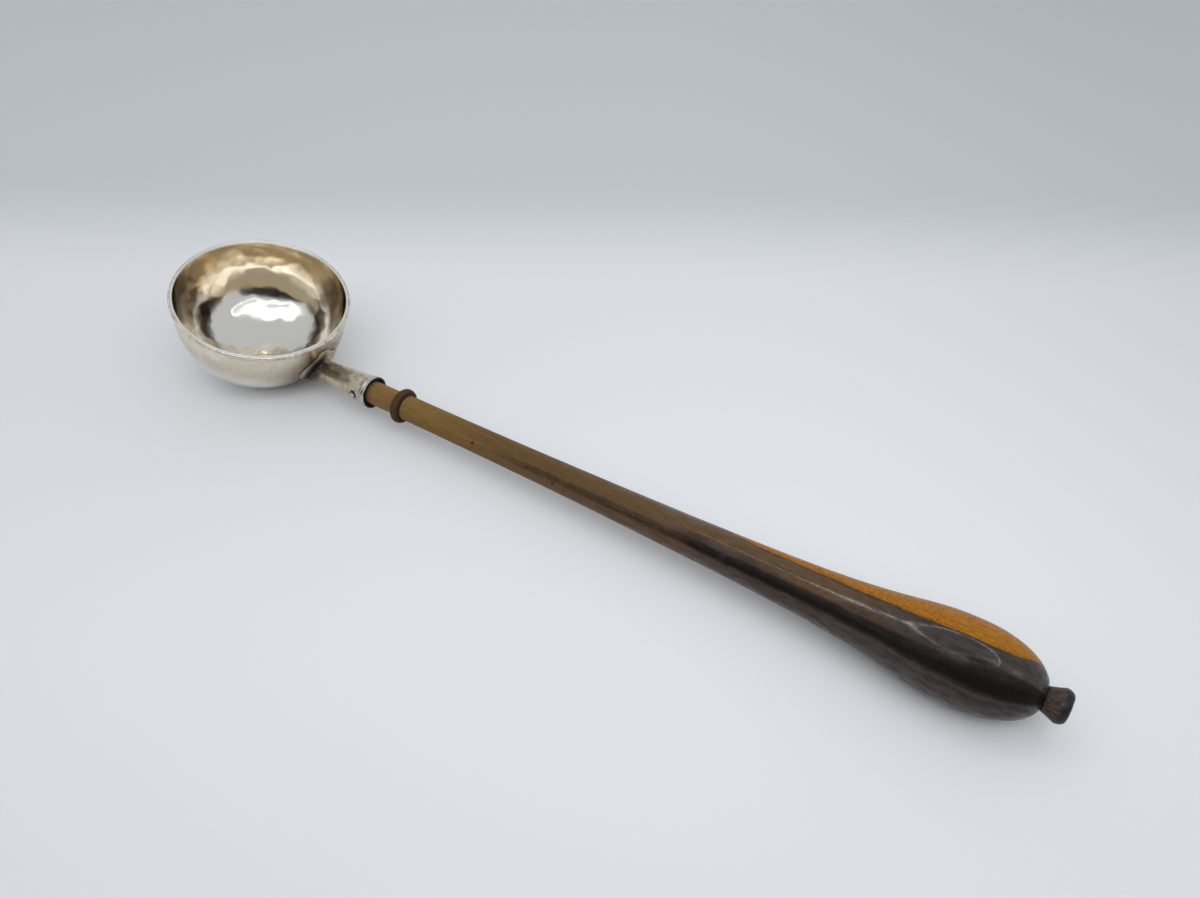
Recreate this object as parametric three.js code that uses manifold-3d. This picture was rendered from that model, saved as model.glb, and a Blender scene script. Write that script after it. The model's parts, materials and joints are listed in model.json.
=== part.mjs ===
// Punch ladle: a raised silver bowl on a tapered socket, and a turned club-ended wooden handle.
//
// Units are millimetres. The finished ladle lies as it does on a table, on the bottom of its bowl
// and the side of its club: +X runs from the bowl to the finial and +Z is up.
// Two frames build it. The bowl frame has the rim's centre at its origin and the rim's normal as
// +Z. The handle frame has its origin where the handle's axis meets the bowl's wall and +Z along
// the handle, with its -X side uppermost.

import * as THREE from 'three';
import { mergeVertices } from 'three/addons/utils/BufferGeometryUtils.js';
import Module from 'manifold-3d';

// Bowl
const bowlWallRadius = 37;        // outside of the wall at the lip
const bowlDepth = 37.5;           // outside, from the lip to the bottom
const bowlPower = 2.6;            // 2 is an ellipse, and more is fuller at the sides
const bowlSheet = 1.0;

// Wire moulding soldered outside the lip
const rimWireWidth = 0.7;
const rimWireHeight = 1.8;
const rimWireShoulder = 0.28;     // flat top and foot, before the round side

// Lobed plate that spreads the socket's load over the wall
const plateRadius = 10.3;
const plateLobeHeight = 1.0;
const plateLobes = 5;
const plateThickness = 0.8;

// Tapered socket, with a ring at its mouth
const handleDrop = 18.56;         // from the rim's plane down to where the axis meets the wall
const handleRise = 15.8;          // degrees, the handle against the rim's plane
const socketLength = 30.64;       // from the wall to the ring
const socketRootRadius = 4.45;    // of the taper, at the wall
const socketMouthRadius = 6.75;
const socketWall = 0.6;
const socketFlareRadius = 2.1;    // how far the root spreads beyond the taper
const socketFlareLength = 7.5;
const collarWidth = 2.4;
const collarRadius = 7.1;
const collarBoreRadius = 6.0;
const collarGroove = 0.25;        // between the ring's two reeds
const collarEdge = 0.3;           // worn corners of each reed

// Rivet through the socket and the handle
const pinSetback = 4.0;           // from the socket's mouth, along the handle
const pinSlant = 5;               // degrees, its near end above the level
const pinShankRadius = 0.75;
const pinHeadRadius = 1.45;
const pinHeadHeight = 0.6;

// Pitch that beds the handle in the socket
const beddingThickness = 0.5;
const beddingStart = 9;           // from the wall, along the handle
const beddingSetback = 0.5;       // of its end inside the ring

// Turned handle
const mouthGap = 0.9;             // open gap round the wood in the ring
const ringSetback = 14.3;         // from the mouth to the turned ring
const ringWidth = 4.0;
const ringRadius = 7.65;
const shaftRadius = 5.4;          // behind the turned ring
const shaftLength = 159;          // from the ring to the start of the club
const clubRootRadius = 8.2;
const shaftHollow = 1.3;          // how far the shaft's side curves in from straight
const swellLength = 79;           // from the club's start to its widest place
const clubRadius = 15.2;
const flareEase = 0.77;           // share of the swell that leaves along the shaft's line
const crownEase = 0.26;           // share of the swell that arrives level
const domeLength = 26.5;
const domePower = 2.2;            // 2 is an ellipse, and more is squarer
const landRadius = 4.9;           // flat under the finial

// Flared finial peg
const finialNeckRadius = 4.2;
const finialHeadRadius = 6.0;
const finialNeckLength = 4.8;
const finialHeadLength = 3.3;
const finialFaceRadius = 3.4;
const finialWaist = 0.15;         // how far its side curves in from straight
const finialTenonRadius = 2.6;
const finialTenonLength = 10;

// Fits
const solderGap = 0.3;            // between pieces that are soldered or bedded face to face
const holeClearance = 0.3;        // round a rivet or a tenon, on the radius

// Fineness of the curves
const bowlSegments = 64;
const bowlSteps = 14;
const turnedSegments = 40;
const smallSegments = 24;
const weldDistance = 1e-5;        // corners this close are one corner
const overrun = 5;                // how far a cutter runs past what it cuts

const silver = { color: 0xc9c2b6, roughness: 0.22, metalness: 1.0 };
const agedSilver = { color: 0xa79f92, roughness: 0.34, metalness: 1.0 };
const pitch = { color: 0x17130f, roughness: 0.75, metalness: 0.0 };
const darkWood = { color: 0x4a3020, roughness: 0.34, metalness: 0.0 };
const pegWood = { color: 0x3d2a22, roughness: 0.3, metalness: 0.0 };

const wasm = await Module();
wasm.setup();

// A lathe turned about Z. The outline is a list of [radius, height], up its outside first.
function turned(outline, segments) {
  const points = outline.map(([radius, height]) => new THREE.Vector2(radius, height));
  return new THREE.LatheGeometry(points, segments).rotateX(Math.PI / 2);
}

function solidOf(geometry) {
  const bare = geometry.clone();
  bare.deleteAttribute('normal');
  bare.deleteAttribute('uv');
  const merged = mergeVertices(bare, weldDistance);
  const corners = merged.getIndex().array;
  const triangles = [];
  for (let i = 0; i < corners.length; i += 3) {
    const [a, b, c] = [corners[i], corners[i + 1], corners[i + 2]];
    if (a !== b && b !== c && c !== a) triangles.push(a, b, c);
  }
  const mesh = new wasm.Mesh({
    numProp: 3,
    vertProperties: new Float32Array(merged.getAttribute('position').array),
    triVerts: new Uint32Array(triangles),
  });
  return new wasm.Manifold(mesh);
}

function geometryOf(solid) {
  const mesh = solid.getMesh();
  const geometry = new THREE.BufferGeometry();
  geometry.setAttribute('position', new THREE.BufferAttribute(mesh.vertProperties, 3));
  geometry.setIndex(new THREE.BufferAttribute(mesh.triVerts, 1));
  geometry.computeVertexNormals();
  return geometry;
}

function piece(parent, name, geometry, look) {
  const mesh = new THREE.Mesh(geometry, new THREE.MeshStandardMaterial(look));
  mesh.name = name;
  parent.add(mesh);
  return mesh;
}

// Quarter of a full, flat-bottomed oval from the bottom of the axis out to the lip.
function bowlCurve(radius, depth) {
  const curve = [];
  for (let i = 0; i <= bowlSteps; i += 1) {
    const angle = (Math.PI / 2) * (i / bowlSteps);
    const across = Math.sin(angle) ** (2 / bowlPower);
    const down = i < bowlSteps ? Math.cos(angle) ** (2 / bowlPower) : 0;
    curve.push([radius * across, -depth * down]);
  }
  return curve;
}

function bowlOutline() {
  const outside = bowlCurve(bowlWallRadius, bowlDepth);
  const inside = bowlCurve(bowlWallRadius - bowlSheet, bowlDepth - bowlSheet).reverse();
  return [...outside, ...inside];
}

// The whole round form that stands off the bowl's wall by a distance, as a closed solid.
function wallOffset(distance) {
  const lower = bowlCurve(bowlWallRadius + distance, bowlDepth + distance);
  const upper = lower.slice(0, -1).reverse().map(([radius, height]) => [radius, -height]);
  return turned([...lower, ...upper], bowlSegments);
}

// D-shaped section: flat against the wall, round outside.
function rimWireOutline() {
  const inner = bowlWallRadius + solderGap;
  const steps = 6;
  const outline = [[inner, -rimWireHeight]];
  for (let i = 0; i <= steps; i += 1) {
    const angle = -Math.PI / 2 + Math.PI * (i / steps);
    const radius = inner + rimWireShoulder + (rimWireWidth - rimWireShoulder) * Math.cos(angle);
    outline.push([radius, (rimWireHeight / 2) * (Math.sin(angle) - 1)]);
  }
  outline.push([inner, 0], [inner, -rimWireHeight]);
  return outline;
}

const wallDepthRatio = handleDrop / bowlDepth;
const wallReach = bowlWallRadius * (1 - wallDepthRatio ** bowlPower) ** (1 / bowlPower);
const pinStation = socketLength - pinSetback;
const mouthStation = socketLength + solderGap + collarWidth;

function socketTaper(station) {
  return socketRootRadius + (socketMouthRadius - socketRootRadius) * (station / socketLength);
}

// The taper with its flared root, which the wall then cuts to a saddle.
function socketOuterRadius(station) {
  const flare = Math.max(0, 1 - station / socketFlareLength);
  return socketTaper(station) + socketFlareRadius * flare ** 2;
}

function boreRadius(station) {
  return socketTaper(station) - socketWall;
}

function socketOutline() {
  const outside = [];
  const steps = 6;
  for (let i = 0; i <= steps; i += 1) {
    const station = socketFlareLength * (i / steps);
    outside.push([socketOuterRadius(station), station]);
  }
  const buried = -overrun;
  const start = [socketOuterRadius(0), buried];
  const mouth = [[socketMouthRadius, socketLength], [boreRadius(socketLength), socketLength]];
  return [start, ...outside, ...mouth, [boreRadius(buried), buried], start];
}

function collarOutline() {
  const start = socketLength + solderGap;
  const middle = start + collarWidth / 2;
  const bore = [collarBoreRadius, start];
  return [
    bore,
    [collarRadius - collarEdge, start],
    [collarRadius, start + collarEdge],
    [collarRadius, middle - collarEdge],
    [collarRadius - collarGroove, middle],
    [collarRadius, middle + collarEdge],
    [collarRadius, mouthStation - collarEdge],
    [collarRadius - collarEdge, mouthStation],
    [collarBoreRadius, mouthStation],
    bore,
  ];
}

const beddingEnd = socketLength - beddingSetback;
const neckRadius = collarBoreRadius - mouthGap;
const tenonGap = 2 * solderGap + beddingThickness;

function beddingOutline() {
  const outer = (station) => boreRadius(station) - solderGap;
  const start = [outer(beddingStart) - beddingThickness, beddingStart];
  return [
    start,
    [outer(beddingStart), beddingStart],
    [outer(beddingEnd), beddingEnd],
    [outer(beddingEnd) - beddingThickness, beddingEnd],
    start,
  ];
}

const ringStart = mouthStation + ringSetback;
const shaftStart = ringStart + ringWidth;
const swellStart = shaftStart + shaftLength;
const crownStation = swellStart + swellLength;
const landRatio = landRadius / clubRadius;
const landStation = crownStation + domeLength * (1 - landRatio ** domePower) ** (1 / domePower);

function curvePoints(curve, steps) {
  return curve.getPoints(steps).map((point) => [point.y, point.x]);
}

// The tapered end in the socket, and the neck from the mouth to the turned ring.
function neckOutline() {
  const tenonRadius = (station) => boreRadius(station) - tenonGap;
  return [
    [0, beddingStart],
    [tenonRadius(beddingStart), beddingStart],
    [tenonRadius(beddingEnd), beddingEnd],
    [neckRadius, mouthStation - collarWidth],
  ];
}

// Half-round bead turned on the shaft.
function ringOutline() {
  const steps = 8;
  const outline = [];
  for (let i = 0; i <= steps; i += 1) {
    const angle = Math.PI * (i / steps);
    const foot = neckRadius + (shaftRadius - neckRadius) * (i / steps);
    const radius = foot + (ringRadius - foot) * Math.sin(angle);
    outline.push([radius, ringStart + (ringWidth / 2) * (1 - Math.cos(angle))]);
  }
  return outline;
}

// Shaft and club: a slightly hollow taper, a swell and a squared dome, each tangent to the last.
function clubOutline() {
  const hollowRadius = (shaftRadius + clubRootRadius) / 2 - shaftHollow;
  const shaft = new THREE.QuadraticBezierCurve(
    new THREE.Vector2(shaftStart, shaftRadius),
    new THREE.Vector2(shaftStart + shaftLength / 2, hollowRadius),
    new THREE.Vector2(swellStart, clubRootRadius),
  );
  const slope = (clubRootRadius - hollowRadius) / (shaftLength / 2);
  const flare = swellLength * flareEase;
  const swell = new THREE.CubicBezierCurve(
    new THREE.Vector2(swellStart, clubRootRadius),
    new THREE.Vector2(swellStart + flare, clubRootRadius + slope * flare),
    new THREE.Vector2(crownStation - swellLength * crownEase, clubRadius),
    new THREE.Vector2(crownStation, clubRadius),
  );
  const dome = [];
  const steps = 9;
  const last = (landStation - crownStation) / domeLength;
  for (let i = 1; i <= steps; i += 1) {
    const along = last * Math.sin((Math.PI / 2) * (i / steps));
    const radius = clubRadius * (1 - along ** domePower) ** (1 / domePower);
    dome.push([radius, crownStation + domeLength * along]);
  }
  const side = [...curvePoints(shaft, 8).slice(1), ...curvePoints(swell, 12).slice(1)];
  return [...side, ...dome];
}

function shaftOutline() {
  return [...neckOutline(), ...ringOutline(), ...clubOutline(), [0, landStation]];
}

const finialSeat = landStation + solderGap;

function finialOutline() {
  const steps = 5;
  const neck = new THREE.QuadraticBezierCurve(
    new THREE.Vector2(0, finialNeckRadius),
    new THREE.Vector2(finialNeckLength / 2, (finialNeckRadius + finialHeadRadius) / 2 - finialWaist),
    new THREE.Vector2(finialNeckLength, finialHeadRadius),
  );
  const head = [];
  for (let i = 1; i <= steps; i += 1) {
    const angle = (Math.PI / 2) * (i / steps);
    const radius = finialFaceRadius + (finialHeadRadius - finialFaceRadius) * Math.cos(angle);
    head.push([radius, finialNeckLength + finialHeadLength * Math.sin(angle)]);
  }
  return [
    [0, -finialTenonLength],
    [finialTenonRadius, -finialTenonLength],
    [finialTenonRadius, 0],
    ...curvePoints(neck, steps),
    ...head,
    [0, finialNeckLength + finialHeadLength],
  ];
}

function pinOutline() {
  const seat = socketTaper(pinStation + pinHeadRadius) + solderGap;
  const steps = 4;
  const dome = [];
  for (let i = 0; i <= steps; i += 1) {
    const angle = (Math.PI / 2) * (i / steps);
    dome.push([pinHeadRadius * Math.cos(angle), seat + pinHeadHeight * Math.sin(angle)]);
  }
  dome[steps][0] = 0;
  const upper = [[pinShankRadius, seat], ...dome];
  const lower = upper.map(([radius, height]) => [radius, -height]).reverse();
  return [...lower, ...upper];
}

function cylinderAlongZ(radius, start, end) {
  return turned([[0, start], [radius, start], [radius, end], [0, end]], smallSegments);
}

function placePin(geometry) {
  const slant = THREE.MathUtils.degToRad(pinSlant);
  return geometry.rotateX(Math.PI / 2).rotateZ(-slant).translate(0, 0, pinStation);
}

const pinReach = socketMouthRadius + overrun;
const pinHole = solidOf(
  placePin(cylinderAlongZ(pinShankRadius + holeClearance, -pinReach, pinReach)),
);

// Cutters in the handle frame
const handleTurn = Math.PI / 2 - THREE.MathUtils.degToRad(handleRise);
const handleFrame = new THREE.Group();
handleFrame.rotation.y = handleTurn;
handleFrame.position.set(wallReach, 0, -handleDrop);
handleFrame.updateMatrix();
const bowlToHandle = handleFrame.matrix.clone().invert();

function wallCutter(distance) {
  return solidOf(wallOffset(distance).applyMatrix4(bowlToHandle));
}

function lobedPrism() {
  const outline = [];
  const steps = 60;
  for (let i = 0; i < steps; i += 1) {
    const angle = 2 * Math.PI * (i / steps);
    const radius = plateRadius + plateLobeHeight * Math.cos(plateLobes * angle);
    outline.push(new THREE.Vector2(-radius * Math.cos(angle), radius * Math.sin(angle)));
  }
  const reach = plateRadius + plateLobeHeight + overrun;
  const prism = new THREE.ExtrudeGeometry(new THREE.Shape(outline), {
    depth: 2 * reach,
    bevelEnabled: false,
    steps: 1,
  });
  return solidOf(prism.translate(0, 0, -reach));
}

function jointPlate() {
  const outer = wallCutter(solderGap + plateThickness);
  const inner = wallCutter(solderGap);
  return geometryOf(outer.subtract(inner).intersect(lobedPrism()));
}

function socket() {
  const saddle = wallCutter(2 * solderGap + plateThickness);
  const tube = solidOf(turned(socketOutline(), turnedSegments));
  return geometryOf(tube.subtract(saddle).subtract(pinHole));
}

function bedding() {
  const sleeve = solidOf(turned(beddingOutline(), turnedSegments));
  return geometryOf(sleeve.subtract(pinHole));
}

function shaft() {
  const turning = solidOf(turned(shaftOutline(), turnedSegments));
  const blindEnd = landStation - finialTenonLength - solderGap;
  const holeRadius = finialTenonRadius + holeClearance;
  const pegHole = cylinderAlongZ(holeRadius, blindEnd, landStation + overrun);
  return geometryOf(turning.subtract(pinHole).subtract(solidOf(pegHole)));
}

// Lowest height that an outline reaches when its axis starts at a height and climbs at an angle.
function lowestOf(outline, startHeight, climb) {
  const heights = outline.map(
    ([radius, station]) => startHeight + station * Math.sin(climb) - radius * Math.cos(climb),
  );
  return Math.min(...heights);
}

// The lean of the bowl at which the bottom of the bowl and the club's side touch one plane.
function restLean() {
  const rise = THREE.MathUtils.degToRad(handleRise);
  let low = -Math.PI / 4;
  let high = Math.PI / 2;
  for (let i = 0; i < 50; i += 1) {
    const lean = (low + high) / 2;
    const bowlLow = lowestOf(bowlOutline(), 0, Math.PI / 2 - lean);
    const handleHeight = -wallReach * Math.sin(lean) - handleDrop * Math.cos(lean);
    const handleLow = lowestOf(shaftOutline(), handleHeight, rise - lean);
    if (handleLow > bowlLow) {
      low = lean;
    } else {
      high = lean;
    }
  }
  return (low + high) / 2;
}

const ladle = new THREE.Group();
const bowlFrame = new THREE.Group();
bowlFrame.rotation.y = restLean();
bowlFrame.add(handleFrame);
ladle.add(bowlFrame);

piece(bowlFrame, 'bowl', turned(bowlOutline(), bowlSegments), silver);
piece(bowlFrame, 'rim_wire', turned(rimWireOutline(), bowlSegments), silver);
piece(handleFrame, 'joint_plate', jointPlate(), agedSilver);
piece(handleFrame, 'socket', socket(), agedSilver);
piece(handleFrame, 'socket_collar', turned(collarOutline(), turnedSegments), silver);
piece(handleFrame, 'socket_pin', placePin(turned(pinOutline(), smallSegments)), silver);
piece(handleFrame, 'pitch_bedding', bedding(), pitch);
piece(handleFrame, 'handle_shaft', shaft(), darkWood);
const peg = piece(handleFrame, 'finial_peg', turned(finialOutline(), smallSegments), pegWood);
peg.position.z = finialSeat;

// Stand it on z = 0, with the middle of its length at x = 0.
ladle.updateMatrixWorld(true);
const box = new THREE.Box3().setFromObject(ladle, true);
bowlFrame.position.set(-(box.min.x + box.max.x) / 2, 0, -box.min.z);

export default ladle;
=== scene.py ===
# Punch ladle: a raised silver bowl on a tapered socket, and a turned club-ended wooden handle.
import json
import math
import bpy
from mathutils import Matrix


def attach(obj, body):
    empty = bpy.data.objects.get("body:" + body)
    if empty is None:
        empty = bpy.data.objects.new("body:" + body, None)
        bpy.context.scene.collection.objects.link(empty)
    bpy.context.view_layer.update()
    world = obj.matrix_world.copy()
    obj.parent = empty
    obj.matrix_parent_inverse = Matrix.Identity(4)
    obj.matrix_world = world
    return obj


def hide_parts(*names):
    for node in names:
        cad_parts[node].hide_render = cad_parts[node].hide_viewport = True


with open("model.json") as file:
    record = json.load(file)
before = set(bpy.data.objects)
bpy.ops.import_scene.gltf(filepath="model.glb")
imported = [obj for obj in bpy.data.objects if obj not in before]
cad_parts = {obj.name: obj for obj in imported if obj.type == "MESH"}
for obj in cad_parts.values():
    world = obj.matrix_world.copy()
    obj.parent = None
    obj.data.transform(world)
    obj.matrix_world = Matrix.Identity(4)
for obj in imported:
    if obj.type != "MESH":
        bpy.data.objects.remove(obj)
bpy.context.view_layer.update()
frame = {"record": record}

from types import SimpleNamespace

import bpy
from mathutils import Matrix, Vector, noise

bl_info = {
    "name": "Punch ladle",
    "version": (1, 0, 0),
    "blender": (4, 5, 0),
    "location": "3D View > Sidebar > Ladle",
    "description": "Dresses a silver punch ladle with a turned wooden handle",
    "category": "Add Mesh",
}

MM = 0.001
CLEARANCE = 0.3 * MM    # between pieces that are soldered, bedded or glued
TENON_START = 9 * MM    # from the bowl's wall, along the handle
PITCH_DEPTH = 1.1 * MM  # from the socket's bore to the tenon
PITCH_FIT = 0.25 * MM   # from the socket's bore to the pitch
RIM = frame["record"]["mounts"][0]
RIM_CENTRE = Vector((RIM["pos_m"][0], 0.0, RIM["pos_m"][2]))
RIM_LEAN = math.atan2(RIM["axis"][0], RIM["axis"][2])


# Settings

def length(description, default):
    return bpy.props.FloatProperty(
        description=description, default=default, min=0.0,
        precision=5, subtype="DISTANCE", unit="LENGTH",
    )


def share(description, default, highest=1.0):
    return bpy.props.FloatProperty(
        description=description, default=default, min=0.0, max=highest,
    )


def angle(description, degrees):
    return bpy.props.FloatProperty(
        description=description, default=math.radians(degrees),
        subtype="ANGLE", unit="ROTATION",
    )


def colour(description, default):
    return bpy.props.FloatVectorProperty(
        description=description, default=default, size=3,
        min=0.0, max=1.0, subtype="COLOR",
    )


class BowlSettings(bpy.types.PropertyGroup):
    wall_radius: length("Outside of the wall at the lip", 0.037)
    depth: length("From the lip to the outside of the bottom", 0.0375)
    power: share("2 is an ellipse, and more is fuller at the sides", 2.6, 6.0)
    sheet: length("Thickness of the raised sheet", 0.001)
    lip_round: length("Worn round on the lip's edges", 0.00028)
    wire_width: length("How far the rim's wire stands out", 0.001)
    wire_height: length("Height of the rim's wire", 0.0018)
    hammer_depth: length("Depth of the planishing marks", 0.00014)
    bright_silver: colour("Rubbed bright", (0.685, 0.67, 0.63))
    silver: colour("Under a thin film", (0.755, 0.705, 0.62))
    warm_silver: colour("Under a yellow tarnish", (0.675, 0.595, 0.465))
    gold_silver: colour("Under a thick yellow tarnish", (0.70, 0.57, 0.37))
    # Also paints dark reflections in patches inside the bowl
    brown: colour("Brown tarnish in patches", (0.185, 0.13, 0.088))
    tarnish: colour("Black tarnish in the joints", (0.045, 0.036, 0.028))


class SocketSettings(bpy.types.PropertyGroup):
    drop: length("From the rim's plane to where the axis meets the wall", 0.01856)
    rise: angle("The handle against the rim's plane", 15.8)
    reach: length("From the wall to the ring", 0.03064)
    root_radius: length("Of the taper at the wall", 0.00445)
    mouth_radius: length("Outside of the mouth", 0.00675)
    wall: length("Thickness of the tube", 0.0006)
    flare_radius: length("How far the root spreads", 0.0021)
    flare_length: length("Length of the spread root", 0.0075)
    plate_radius: length("Middle radius of the lobed plate", 0.0103)
    plate_lobe: length("How far each lobe swings", 0.001)
    plate_lobes: bpy.props.IntProperty(description="Lobes round the plate", default=5, min=3)
    plate_thickness: length("Thickness of the plate", 0.0011)
    ring_width: length("Reeded ring at the mouth", 0.0024)
    ring_radius: length("Outside of the ring", 0.0071)
    ring_bore: length("Inside of the ring", 0.006)
    ring_groove: length("Between the two reeds", 0.0003)
    pin_setback: length("From the socket's mouth", 0.004)
    pin_slant: angle("Its near end above the level", 5.0)
    pin_head: length("Radius of the rivet's head", 0.0012)
    pin_height: length("Height of the rivet's head", 0.00062)


class HandleSettings(bpy.types.PropertyGroup):
    neck_radius: length("Wood in the mouth", 0.0051)
    bead_setback: length("From the mouth to the bead", 0.0143)
    bead_width: length("Width of the turned bead", 0.004)
    bead_radius: length("Radius of the turned bead", 0.00765)
    shaft_radius: length("Behind the bead", 0.0054)
    shaft_length: length("From the bead to the club", 0.159)
    club_root: length("Radius where the club starts", 0.0082)
    hollow: length("How far the shaft curves in", 0.0013)
    swell: length("From the club's start to its widest place", 0.079)
    club_radius: length("Widest radius", 0.0152)
    flare_ease: share("Share of the swell on the shaft's line", 0.77)
    crown_ease: share("Share of the swell that arrives level", 0.26)
    dome: length("Length of the rounded end", 0.0265)
    dome_power: share("2 is an ellipse", 2.2, 6.0)
    land: length("Radius of the flat under the peg", 0.0049)
    sapwood: colour("Orange streak on the club", (0.455, 0.176, 0.004))


class PegSettings(bpy.types.PropertyGroup):
    neck_radius: length("At the club", 0.0042)
    head_radius: length("Widest place", 0.006)
    neck_length: length("Flared part", 0.0048)
    head_length: length("Rounded part", 0.0033)
    face_radius: length("Flat of the end", 0.0034)
    waist: length("How far its side curves in", 0.00015)
    tenon_radius: length("In the club's hole", 0.0026)
    tenon_length: length("In the club's hole", 0.01)
    wood: colour("Dark brown", (0.030, 0.018, 0.012))


class StageSettings(bpy.types.PropertyGroup):
    floor: colour("Pale seamless sheet", (0.780, 0.797, 0.824))
    sweep: colour("Where the sheet rises behind", (0.564, 0.596, 0.626))
    tent: share("Brightness of the white tent", 0.71, 2.0)
    window: share("Brightness of the tent's open window", 2.35, 6.0)
    ring: share("Brightness of the oval lamp", 6.0, 20.0)
    bar: share("Brightness of the long narrow lamp", 6.0, 20.0)


# Node trees

class Wire:
    """A node's output. Arithmetic and methods on it add nodes to its tree."""

    def __init__(self, tree, socket):
        self.tree = tree
        self.socket = socket

    def math(self, operation, *terms):
        return self.tree.add("ShaderNodeMath", {"operation": operation}, dict(enumerate(terms)))

    def __add__(self, other):
        return self.math("ADD", self, other)

    def __sub__(self, other):
        return self.math("SUBTRACT", self, other)

    def __rsub__(self, other):
        return self.math("SUBTRACT", other, self)

    def __mul__(self, other):
        return self.math("MULTIPLY", self, other)

    def __truediv__(self, other):
        return self.math("DIVIDE", self, other)

    def __pow__(self, other):
        return self.math("POWER", self, other)

    def __abs__(self):
        return self.math("ABSOLUTE", self)

    __radd__ = __add__
    __rmul__ = __mul__

    def higher(self, other):
        return self.math("MAXIMUM", self, other)

    def vector_math(self, operation, other, output="Value"):
        settings = {"operation": operation}
        return self.tree.add("ShaderNodeVectorMath", settings, {0: self, 1: other}, output)

    def scaled(self, factors):
        return self.vector_math("MULTIPLY", factors, "Vector")

    def distance(self, point):
        return self.vector_math("DISTANCE", point)

    def toward(self, way):
        """How far a vector reaches along a way."""
        return self.vector_math("DOT_PRODUCT", way)

    def split(self):
        node = self.tree.add("ShaderNodeSeparateXYZ", sockets={0: self}).socket.node
        return [Wire(self.tree, socket) for socket in node.outputs]

    def from_axis(self):
        """How far a place lies from the Z axis."""
        x, y, _ = self.split()
        return (x * x + y * y) ** 0.5

    def noise(self, scale, detail=2.0, rough=0.5, twist=0.0):
        """Noise with one scale, or with one for each way in a tuple."""
        vector = self
        if isinstance(scale, tuple):
            vector, scale = self.scaled(scale), 1.0
        sockets = {
            "Vector": vector, "Scale": scale, "Detail": detail,
            "Roughness": rough, "Distortion": twist,
        }
        return self.tree.add("ShaderNodeTexNoise", sockets=sockets)

    def step(self, low, high):
        """0 below low, 1 above high, and smooth between."""
        sockets = {"Value": self, "From Min": low, "From Max": high}
        return self.tree.add("ShaderNodeMapRange", {"interpolation_type": "SMOOTHSTEP"}, sockets)

    def fade(self, low, high):
        """1 below low, 0 above high, and smooth between."""
        return 1 - self.step(low, high)

    def between(self, start, full, fade, end):
        """1 from full to fade, and 0 outside start and end."""
        return self.step(start, full) * self.fade(fade, end)

    def ramp(self, stops):
        return self.tree.add("ShaderNodeValToRGB", {"stops": stops}, {0: self})

    def mix(self, first, second, blend="MIX"):
        """The first tone where the mask is 0, and the second where it is 1."""
        settings = {"data_type": "RGBA", "blend_type": blend}
        sockets = {0: self, 6: opaque(first), 7: opaque(second)}
        return self.tree.add("ShaderNodeMix", settings, sockets, 2)

    def bump(self, distance, under=None):
        sockets = {"Height": self, "Distance": distance, "Strength": 1.0}
        if under:
            sockets["Normal"] = under
        return self.tree.add("ShaderNodeBump", sockets=sockets)


class Tree:
    """The nodes of a material or of the world."""

    def __init__(self, owner):
        self.owner = owner
        owner.use_nodes = True
        self.nodes = owner.node_tree.nodes
        self.links = owner.node_tree.links
        self.nodes.clear()

    def add(self, kind, settings=None, sockets=None, output=0):
        node = self.nodes.new(kind)
        for key, value in (settings or {}).items():
            if key == "stops":
                self.set_stops(node.color_ramp, value)
            else:
                setattr(node, key, value)
        for key, value in (sockets or {}).items():
            if isinstance(value, Wire):
                self.links.new(value.socket, node.inputs[key])
            else:
                node.inputs[key].default_value = value
        return Wire(self, node.outputs[output]) if node.outputs else node

    def set_stops(self, ramp, stops):
        while len(ramp.elements) < len(stops):
            ramp.elements.new(1.0)
        for element, (place, tone) in zip(ramp.elements, stops):
            element.position = place
            element.color = (tone, tone, tone, 1.0) if isinstance(tone, float) else (*tone, 1.0)

    def millimetres(self, place):
        """Coordinates in the frame that a piece was shaped in, in millimetres."""
        point = self.add("ShaderNodeTexCoord", output="Object")
        sockets = {
            "Vector": point, "Location": place.to_translation(),
            "Rotation": place.to_euler(), "Scale": (MM, MM, MM),
        }
        return self.add("ShaderNodeMapping", {"vector_type": "TEXTURE"}, sockets)

    def surface(self, **sockets):
        """Ends a material's tree with a shader, and gives the material."""
        names = {key.replace("_", " "): value for key, value in sockets.items()}
        shader = self.add("ShaderNodeBsdfPrincipled", sockets=names)
        self.add("ShaderNodeOutputMaterial", sockets={"Surface": shader})
        return self.owner


def layers(tone, *masks):
    """A tone with others laid over it, each a mask and a tone."""
    for mask, over in masks:
        tone = mask.mix(tone, over)
    return tone


def opaque(tone):
    return tone if isinstance(tone, Wire) else (*tone[:3], 1.0)


def shaded(tone, factor):
    return tuple(part * factor for part in tone[:3])


def new_finish(name):
    return Tree(bpy.data.materials.new(name))


# Finishes

# Tones along the wood, by the share of 300 mm from the socket's mouth
WOOD_REACH = 300.0
# Along the top: in the club lighter and greyer than the underside, as painted sheen
UPPER_TONES_WITH_SHEEN = (
    (0.00, (0.258, 0.150, 0.051)), (0.12, (0.222, 0.128, 0.037)), (0.21, (0.145, 0.080, 0.027)),
    (0.70, (0.106, 0.058, 0.023)), (0.80, (0.045, 0.033, 0.026)), (0.95, (0.036, 0.031, 0.030)),
)
LOWER_TONES = (
    (0.00, (0.254, 0.149, 0.053)), (0.12, (0.220, 0.128, 0.038)), (0.26, (0.160, 0.091, 0.036)),
    (0.50, (0.092, 0.046, 0.018)), (0.60, (0.048, 0.022, 0.012)), (0.90, (0.025, 0.015, 0.012)),
)
# How far from the axis the sapwood starts, in centimetres, by the same share
SAPWOOD_DEPTHS = (
    (0.561, 0.74), (0.60, 0.67), (0.65, 0.67), (0.70, 0.70), (0.74, 0.69), (0.79, 0.72),
    (0.84, 0.765), (0.898, 0.80), (0.921, 0.92),
)
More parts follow.
